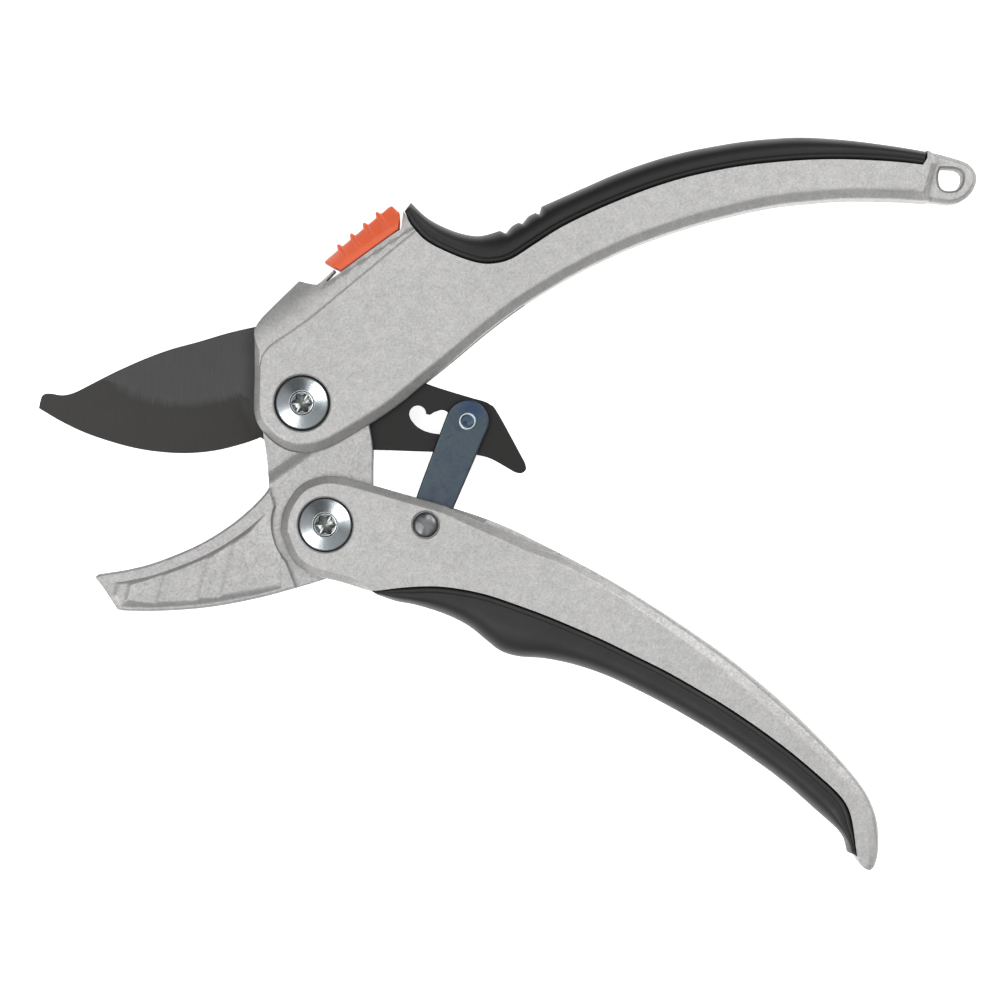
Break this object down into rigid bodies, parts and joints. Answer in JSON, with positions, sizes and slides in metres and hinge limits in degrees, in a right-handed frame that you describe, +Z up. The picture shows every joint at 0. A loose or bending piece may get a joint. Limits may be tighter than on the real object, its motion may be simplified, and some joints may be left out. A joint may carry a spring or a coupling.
{
  "type": "pruning shears",
  "caption": "Ratchet anvil pruning shears with cast handles, soft grips, a notched blade tang, a ratchet link and a sliding thumb lock.",
  "frame": {"origin": "centre of the bottom of the bounding box, on the surface that the shears lie on", "axes": "+X from the blade's tip towards the hanging loop, +Y from the lower handle towards the upper one, +Z up through the thickness"},
  "size_m": [0.2106, 0.1644, 0.0145],
  "materials": {
    "cast_aluminium": "shot-blasted casting",
    "jaw_casting": "shot-blasted casting",
    "upper_grip_rubber": "smooth soft plastic",
    "lower_grip_rubber": "smooth soft plastic",
    "coated_blade_steel": "matt non-stick coating",
    "bright_zinc": "bright zinc plate",
    "black_washer": "matt",
    "dark_washer": "satin",
    "white_washer": "matt",
    "bronze_bush": "sintered",
    "blue_zinc": "blue zinc plate with faint rainbow tints",
    "rivet_zinc": "zinc plate",
    "pin_steel": "dull steel",
    "spring_steel": "drawn wire",
    "strip_steel": "satin",
    "orange_plastic": "moulded satin plastic"
  },
  "bodies": {
    "frame": {"upper_handle": "cast_aluminium", "upper_grip": "upper_grip_rubber", "lower_jaw": "jaw_casting", "blade_bolt": "bright_zinc", "blade_bolt_washer": "black_washer", "blade_nut": "bright_zinc", "blade_bush": "bronze_bush", "blade_washer_near": "white_washer", "blade_washer_far": "white_washer", "handle_bush": "bronze_bush", "lock_detent_spring": "spring_steel"},
    "cutter": {"blade": "coated_blade_steel"},
    "lever": {"lower_handle": "cast_aluminium", "lower_grip": "lower_grip_rubber", "handle_bolt": "bright_zinc", "handle_bolt_washer": "dark_washer", "handle_nut": "bright_zinc", "link_pin": "pin_steel"},
    "link": {"link_plate_near": "blue_zinc", "link_plate_far": "blue_zinc", "link_bush": "pin_steel", "ratchet_pin": "rivet_zinc", "return_spring": "spring_steel"},
    "lock": {"lock_slider": "orange_plastic", "lock_strip": "strip_steel"}
  },
  "joints": [
    {"name": "handle_pivot", "type": "hinge", "parent": "frame", "child": "lever", "pos_m": [-0.0406, -0.0052, 0.007], "axis": [0, 0, 1], "range_deg": [0, 48], "stiffness_Nm_per_rad": 0.25, "springref_deg": -20.05},
    {"name": "blade_pivot", "type": "hinge", "parent": "frame", "child": "cutter", "pos_m": [-0.0458, 0.022, 0.007], "axis": [0, 0, 1], "range_deg": [0, 38.41]},
    {"name": "link_pivot", "type": "hinge", "parent": "lever", "child": "link", "pos_m": [-0.0182, -0.0052, 0.007], "axis": [0, 0, 1], "range_deg": [-36.01, 0], "deforming": ["return_spring"]},
    {"name": "lock_slide", "type": "slide", "parent": "frame", "child": "lock", "axis": [-0.8348, -0.5505, 0], "range_m": [0, 0.0045]}
  ],
  "couplings": [
    {"joint": "blade_pivot", "follows": "handle_pivot", "ratio": 0.8},
    {"joint": "link_pivot", "follows": "handle_pivot", "ratio": -0.75}
  ]
}
